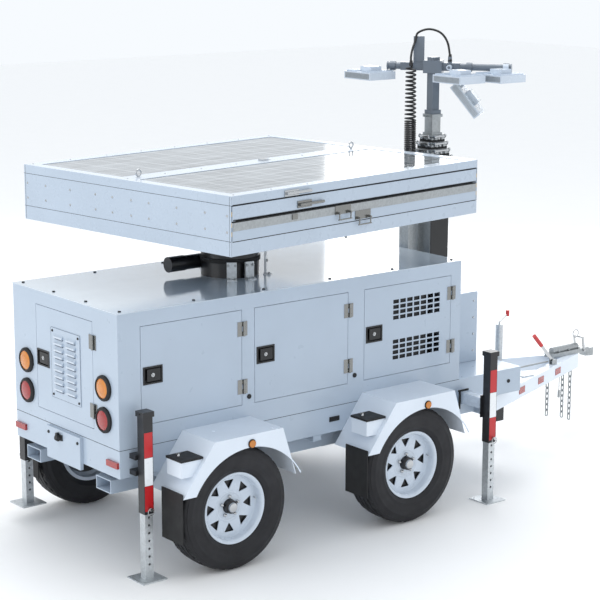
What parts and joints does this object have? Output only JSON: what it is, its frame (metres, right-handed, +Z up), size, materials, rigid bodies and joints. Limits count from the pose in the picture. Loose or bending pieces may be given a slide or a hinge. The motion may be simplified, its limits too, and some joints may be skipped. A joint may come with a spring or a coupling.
{
  "type": "solar light tower trailer",
  "caption": "Towable solar light tower: tandem-axle boxed trailer with a slewing solar box and slide-out trays, telescoping mast with floodlights, drop-leg jacks and A-frame drawbar.",
  "frame": {"origin": "on the ground under the middle of the trailer's overall length and width", "axes": "+X towards the coupling, +Y to the vehicle's left, +Z up"},
  "size_m": [4.386, 2.0074, 2.8785],
  "materials": {
    "body_paint": "semi-gloss pale blue-white powder coat",
    "white_paint": "gloss white",
    "chassis_black": "satin black",
    "galvanised": "hot-dip galvanised, matte",
    "hardware_steel": "polished",
    "tyre_rubber": "matte",
    "black_rubber": "matte",
    "black_plastic": "matte",
    "lens": "clear red and amber",
    "pv_glass": "gloss, dark cells",
    "grey_head": "semi-gloss grey",
    "generator_red": "gloss"
  },
  "bodies": {
    "trailer": {"base_frame": "body_paint", "chassis_rails": "body_paint", "axles": "chassis_black", "drawbar": "body_paint", "coupler": "galvanised", "safety_chains": "galvanised", "tongue_jack_tube": "galvanised", "cabinet_shell": "body_paint", "cabinet_roof": "white_paint", "door_hinges": "hardware_steel", "marker_lamps": "lens", "black_trim": "black_rubber", "mudflaps": "black_rubber", "fenders": "white_paint", "rear_jack_tubes": "chassis_black", "battery_and_inverter": "black_plastic", "generator_set": "generator_red", "slew_base": "chassis_black", "mast_housing": "body_paint", "mast_base": "galvanised", "curly_cord": "black_rubber"},
    "wheel_rr_set": {"tyre_rr": "tyre_rubber", "wheel_rr": "white_paint"},
    "wheel_rl_set": {"tyre_rl": "tyre_rubber", "wheel_rl": "white_paint"},
    "wheel_fr_set": {"tyre_fr": "tyre_rubber", "wheel_fr": "white_paint"},
    "wheel_fl_set": {"tyre_fl": "tyre_rubber", "wheel_fl": "white_paint"},
    "coupler_latch_body": {"coupler_latch": "hardware_steel"},
    "handbrake_lever_body": {"handbrake_lever": "hardware_steel"},
    "tongue_jack_leg_body": {"tongue_jack_leg": "galvanised"},
    "tongue_jack_crank_body": {"tongue_jack_crank": "hardware_steel"},
    "rear_door_body": {"rear_door": "body_paint"},
    "right_door_rear_body": {"right_door_rear": "body_paint"},
    "right_door_mid_body": {"right_door_mid": "body_paint"},
    "right_door_front_body": {"right_door_front": "body_paint"},
    "left_door_rear_body": {"left_door_rear": "body_paint"},
    "left_door_front_body": {"left_door_front": "body_paint"},
    "outrigger_r_body": {"outrigger_r": "body_paint"},
    "outrigger_l_body": {"outrigger_l": "body_paint"},
    "jack_leg_rr_body": {"jack_leg_rr": "galvanised"},
    "jack_leg_rl_body": {"jack_leg_rl": "galvanised"},
    "jack_leg_fr_body": {"jack_leg_fr": "galvanised"},
    "jack_leg_fl_body": {"jack_leg_fl": "galvanised"},
    "tray_lower_body": {"tray_lower": "body_paint"},
    "tray_upper_body": {"tray_upper": "body_paint"},
    "mast_stage_1_body": {"mast_stage_1": "galvanised"},
    "mast_stage_2_body": {"mast_stage_2": "galvanised"},
    "mast_stage_3_body": {"mast_stage_3": "galvanised"},
    "lamp_left_body": {"lamp_left": "white_paint"},
    "lamp_near_body": {"lamp_near": "white_paint"},
    "lamp_right_body": {"lamp_right": "white_paint"},
    "lamp_down_body": {"lamp_down": "white_paint"},
    "slewing_box": {"slew_frame": "galvanised", "solar_frame": "body_paint", "solar_modules": "pv_glass", "solar_hardware": "hardware_steel"},
    "mast_top_body": {"mast_top": "galvanised", "mast_head": "grey_head"}
  },
  "joints": [
    {"name": "wheel_rr_spin", "type": "hinge", "parent": "trailer", "child": "wheel_rr_set", "pos_m": [-1.5955, -0.745, 0.359], "axis": [0, 1, 0], "continuous": true},
    {"name": "wheel_rl_spin", "type": "hinge", "parent": "trailer", "child": "wheel_rl_set", "pos_m": [-1.5955, 0.745, 0.359], "axis": [0, 1, 0], "continuous": true},
    {"name": "wheel_fr_spin", "type": "hinge", "parent": "trailer", "child": "wheel_fr_set", "pos_m": [-0.2785, -0.745, 0.359], "axis": [0, 1, 0], "continuous": true},
    {"name": "wheel_fl_spin", "type": "hinge", "parent": "trailer", "child": "wheel_fl_set", "pos_m": [-0.2785, 0.745, 0.359], "axis": [0, 1, 0], "continuous": true},
    {"name": "coupler_latch_pivot", "type": "hinge", "parent": "trailer", "child": "coupler_latch_body", "pos_m": [2.073, 0, 0.564], "axis": [0, 1, 0], "range_deg": [0, 70]},
    {"name": "handbrake_pivot", "type": "hinge", "parent": "trailer", "child": "handbrake_lever_body", "pos_m": [1.643, -0.15, 0.57], "axis": [0, 1, 0], "range_deg": [0, 40]},
    {"name": "tongue_crank_turn", "type": "hinge", "parent": "trailer", "child": "tongue_jack_crank_body", "pos_m": [1.263, 0, 0.86], "axis": [0, 0, 1], "range_deg": [-4200, 10800]},
    {"name": "tongue_leg_slide", "type": "slide", "parent": "trailer", "child": "tongue_jack_leg_body", "axis": [0, 0, -1], "range_m": [-0.071, 0.181]},
    {"name": "right_door_rear_hinge", "type": "hinge", "parent": "trailer", "child": "right_door_rear_body", "pos_m": [-1.324, -0.5605, 1.1], "axis": [0, 0, 1], "range_deg": [0, 120]},
    {"name": "right_door_mid_hinge", "type": "hinge", "parent": "trailer", "child": "right_door_mid_body", "pos_m": [-0.539, -0.5605, 1.1], "axis": [0, 0, 1], "range_deg": [0, 120]},
    {"name": "right_door_front_hinge", "type": "hinge", "parent": "trailer", "child": "right_door_front_body", "pos_m": [0.292, -0.5605, 1.1], "axis": [0, 0, 1], "range_deg": [0, 95]},
    {"name": "left_door_rear_hinge", "type": "hinge", "parent": "trailer", "child": "left_door_rear_body", "pos_m": [-1.324, 0.5605, 1.1], "axis": [0, 0, -1], "range_deg": [0, 120]},
    {"name": "left_door_front_hinge", "type": "hinge", "parent": "trailer", "child": "left_door_front_body", "pos_m": [0.292, 0.5605, 1.1], "axis": [0, 0, -1], "range_deg": [0, 95]},
    {"name": "rear_door_hinge", "type": "hinge", "parent": "trailer", "child": "rear_door_body", "pos_m": [-2.176, -0.311, 1.1], "axis": [0, 0, 1], "range_deg": [0, 120]},
    {"name": "outrigger_r_slide", "type": "slide", "parent": "trailer", "child": "outrigger_r_body", "axis": [0, -1, 0], "range_m": [0, 0.28]},
    {"name": "outrigger_l_slide", "type": "slide", "parent": "trailer", "child": "outrigger_l_body", "axis": [0, 1, 0], "range_m": [0, 0.28]},
    {"name": "jack_rr_slide", "type": "slide", "parent": "trailer", "child": "jack_leg_rr_body", "axis": [0, 0, 1], "range_m": [0, 0.22]},
    {"name": "jack_rl_slide", "type": "slide", "parent": "trailer", "child": "jack_leg_rl_body", "axis": [0, 0, 1], "range_m": [-0.103, 0.22]},
    {"name": "jack_fr_slide", "type": "slide", "parent": "outrigger_r_body", "child": "jack_leg_fr_body", "axis": [0, 0, 1], "range_m": [0, 0.22]},
    {"name": "jack_fl_slide", "type": "slide", "parent": "outrigger_l_body", "child": "jack_leg_fl_body", "axis": [0, 0, 1], "range_m": [0, 0.22]},
    {"name": "solar_box_slew", "type": "hinge", "parent": "trailer", "child": "slewing_box", "pos_m": [-1.007, 0, 1.607], "axis": [0, 0, 1], "range_deg": [-35, 22]},
    {"name": "tray_lower_slide", "type": "slide", "parent": "slewing_box", "child": "tray_lower_body", "axis": [0.1264, -0.992, 0], "range_m": [0, 1.4]},
    {"name": "tray_upper_slide", "type": "slide", "parent": "slewing_box", "child": "tray_upper_body", "axis": [-0.1264, 0.992, 0], "range_m": [0, 1.4]},
    {"name": "mast_stage_1_slide", "type": "slide", "parent": "trailer", "child": "mast_stage_1_body", "axis": [0, 0, 1], "range_m": [0, 1.05]},
    {"name": "mast_stage_2_slide", "type": "slide", "parent": "trailer", "child": "mast_stage_2_body", "axis": [0, 0, 1], "range_m": [0, 2.1]},
    {"name": "mast_stage_3_slide", "type": "slide", "parent": "trailer", "child": "mast_stage_3_body", "axis": [0, 0, 1], "range_m": [0, 3.15]},
    {"name": "mast_top_slide", "type": "slide", "parent": "trailer", "child": "mast_top_body", "axis": [0, 0, 1], "range_m": [0, 4.2]},
    {"name": "lamp_left_tilt", "type": "hinge", "parent": "mast_top_body", "child": "lamp_left_body", "pos_m": [0.4517, 0.20646, 2.636], "axis": [-0.6157, 0.788, 0], "range_deg": [-30, 40]},
    {"name": "lamp_near_tilt", "type": "hinge", "parent": "mast_top_body", "child": "lamp_near_body", "pos_m": [0.7546, -0.18124, 2.636], "axis": [-0.6157, 0.788, 0], "range_deg": [0, 40]},
    {"name": "lamp_right_tilt", "type": "hinge", "parent": "mast_top_body", "child": "lamp_right_body", "pos_m": [0.89928, -0.36643, 2.636], "axis": [-0.6157, 0.788, 0], "range_deg": [-30, 40]},
    {"name": "lamp_down_tilt", "type": "hinge", "parent": "mast_top_body", "child": "lamp_down_body", "pos_m": [0.63659, -0.12116, 2.636], "axis": [-0.788, -0.6157, 0], "range_deg": [-25, 0]}
  ],
  "couplings": [
    {"joint": "tongue_leg_slide", "follows": "tongue_crank_turn", "m_per_rad": 0.000955},
    {"joint": "mast_stage_1_slide", "follows": "mast_top_slide", "ratio": 0.25},
    {"joint": "mast_stage_2_slide", "follows": "mast_top_slide", "ratio": 0.5},
    {"joint": "mast_stage_3_slide", "follows": "mast_top_slide", "ratio": 0.75}
  ]
}
